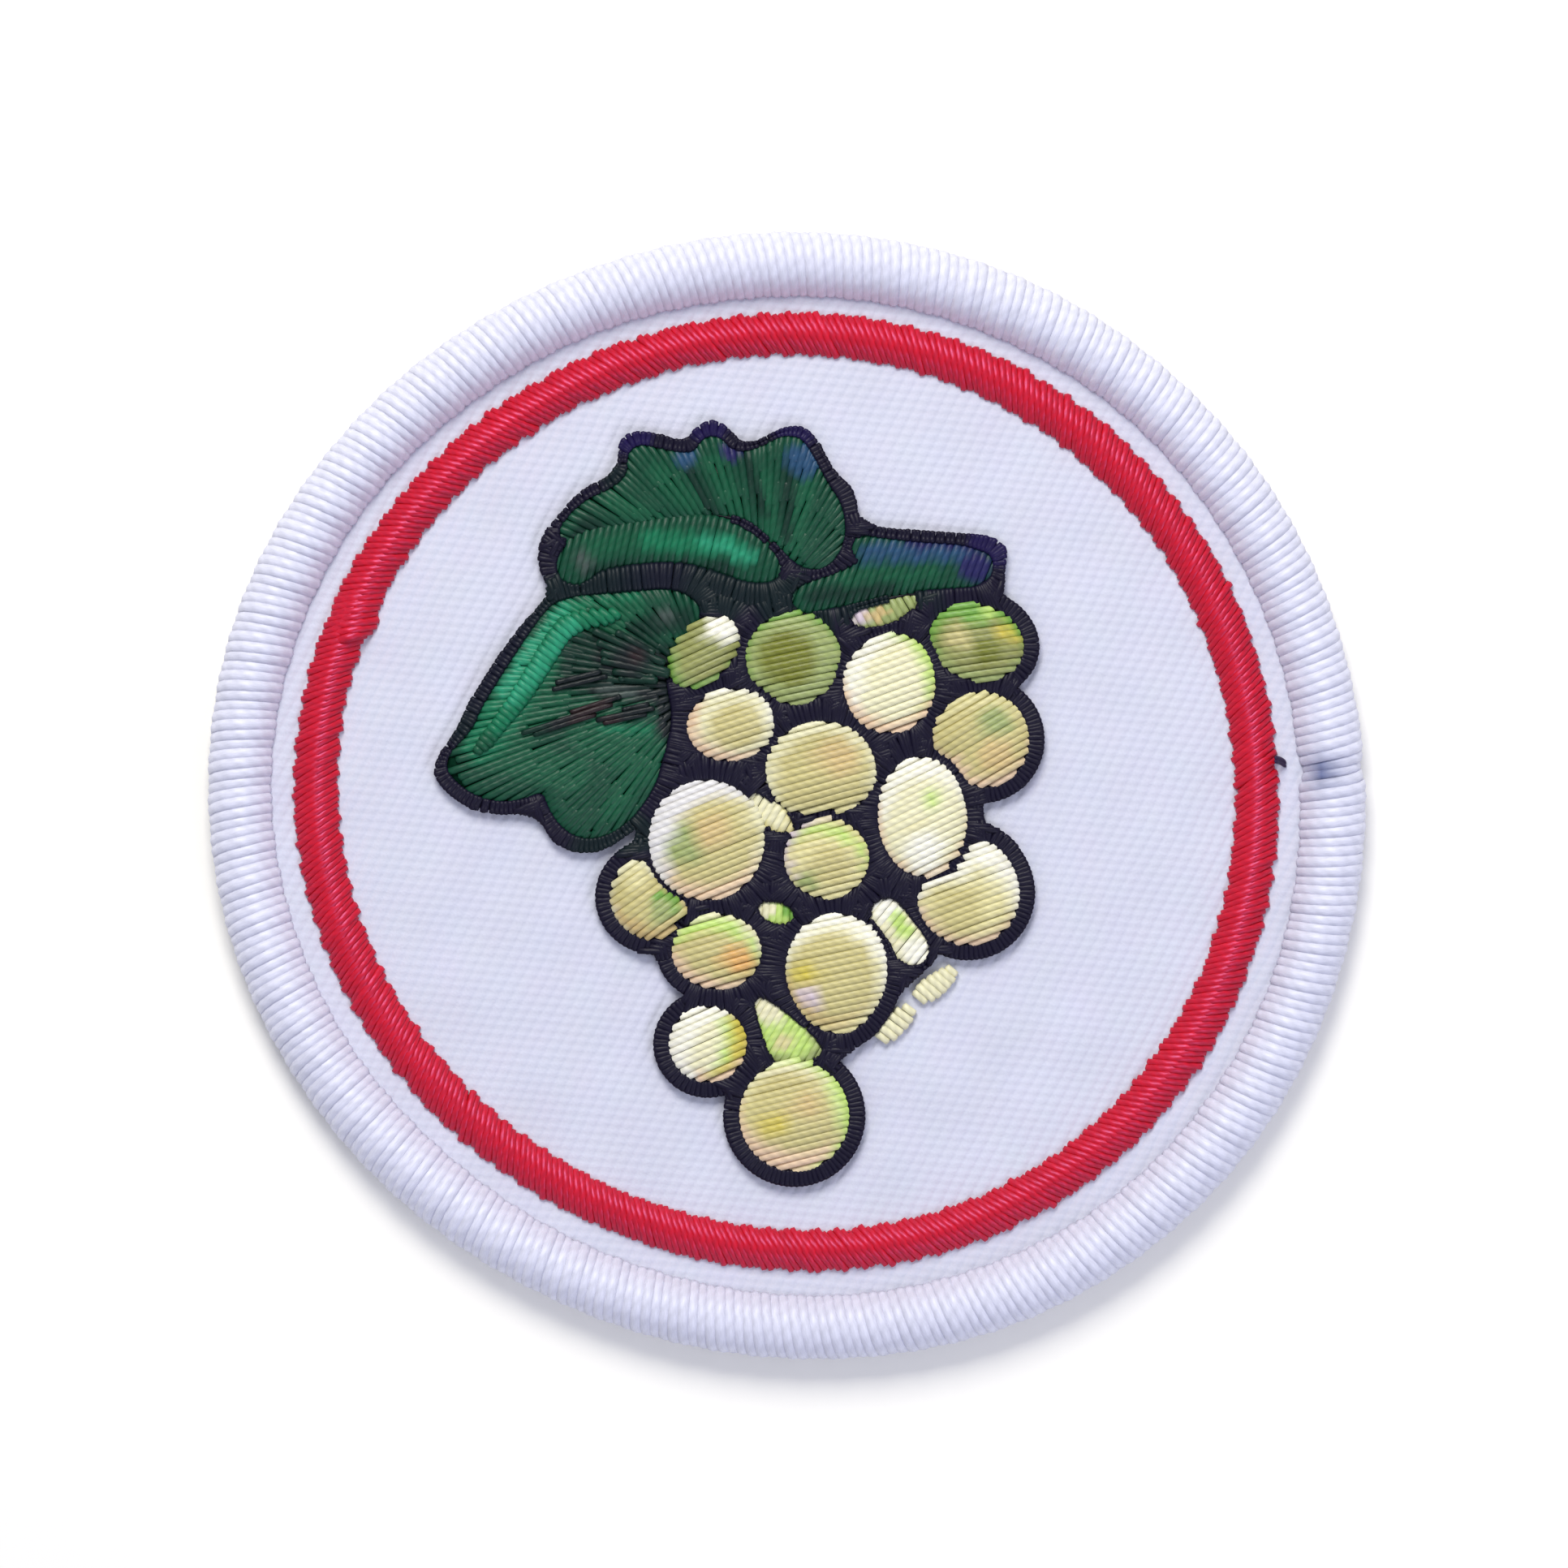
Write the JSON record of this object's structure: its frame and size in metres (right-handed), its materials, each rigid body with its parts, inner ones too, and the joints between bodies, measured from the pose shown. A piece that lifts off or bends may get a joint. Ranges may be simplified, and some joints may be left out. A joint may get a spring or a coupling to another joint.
{
  "type": "embroidered patch",
  "caption": "Round embroidered cloth patch with a white overlocked edge, a red stitched ring and a raised bunch of grapes with leaves.",
  "frame": {"origin": "middle of the flat back, at the centre of the patch's box", "axes": "+Z out of the embroidered face, +Y to the top of the picture, +X to its right"},
  "size_m": [0.051, 0.0496, 0.0023],
  "materials": {
    "white_thread": "white polyester overlock thread, soft sheen",
    "pale_twill": "pale lavender-grey cotton and polyester twill, matte",
    "stiff_backing": "off-white stiffened non-woven backing, matte",
    "red_thread": "bright red rayon embroidery thread, satin sheen",
    "navy_thread": "very dark navy rayon embroidery thread, satin sheen",
    "dark_green_thread": "dark green rayon embroidery thread, satin sheen",
    "mid_green_thread": "mid green rayon embroidery thread, satin sheen",
    "light_green_thread": "light green rayon embroidery thread, satin sheen",
    "brown_thread": "very dark brown rayon embroidery thread, satin sheen",
    "khaki_thread": "khaki and cream rayon embroidery thread, satin sheen",
    "olive_thread": "olive green rayon embroidery thread, satin sheen",
    "cream_thread": "cream rayon embroidery thread, satin sheen"
  },
  "bodies": {
    "root": {"backing_stabiliser": "stiff_backing", "ground_twill": "pale_twill", "border_overlock": "white_thread", "red_ring": "red_thread", "outline_navy": "navy_thread", "leaf_upper": "dark_green_thread", "leaf_fold": "mid_green_thread", "leaf_lower": "dark_green_thread", "stem": "dark_green_thread", "leaf_edge_light": "light_green_thread", "leaf_base_shade": "brown_thread", "vein_middle": "brown_thread", "vein_upper": "brown_thread", "vein_lower": "brown_thread", "grape_01": "olive_thread", "grape_02": "olive_thread", "grape_03": "cream_thread", "grape_04": "olive_thread", "grape_05": "khaki_thread", "grape_06": "cream_thread", "grape_07": "khaki_thread", "grape_08": "khaki_thread", "grape_09": "khaki_thread", "grape_10": "khaki_thread", "grape_11": "khaki_thread", "grape_12": "olive_thread", "grape_13": "khaki_thread", "grape_14": "khaki_thread", "grape_15": "cream_thread", "grape_16": "khaki_thread", "sliver_leafward": "cream_thread", "sliver_middle": "cream_thread", "sliver_small": "cream_thread", "sliver_right": "cream_thread", "sliver_tail": "cream_thread", "loose_fill_upper": "cream_thread", "loose_fill_lower": "cream_thread"}
  },
  "joints": []
}
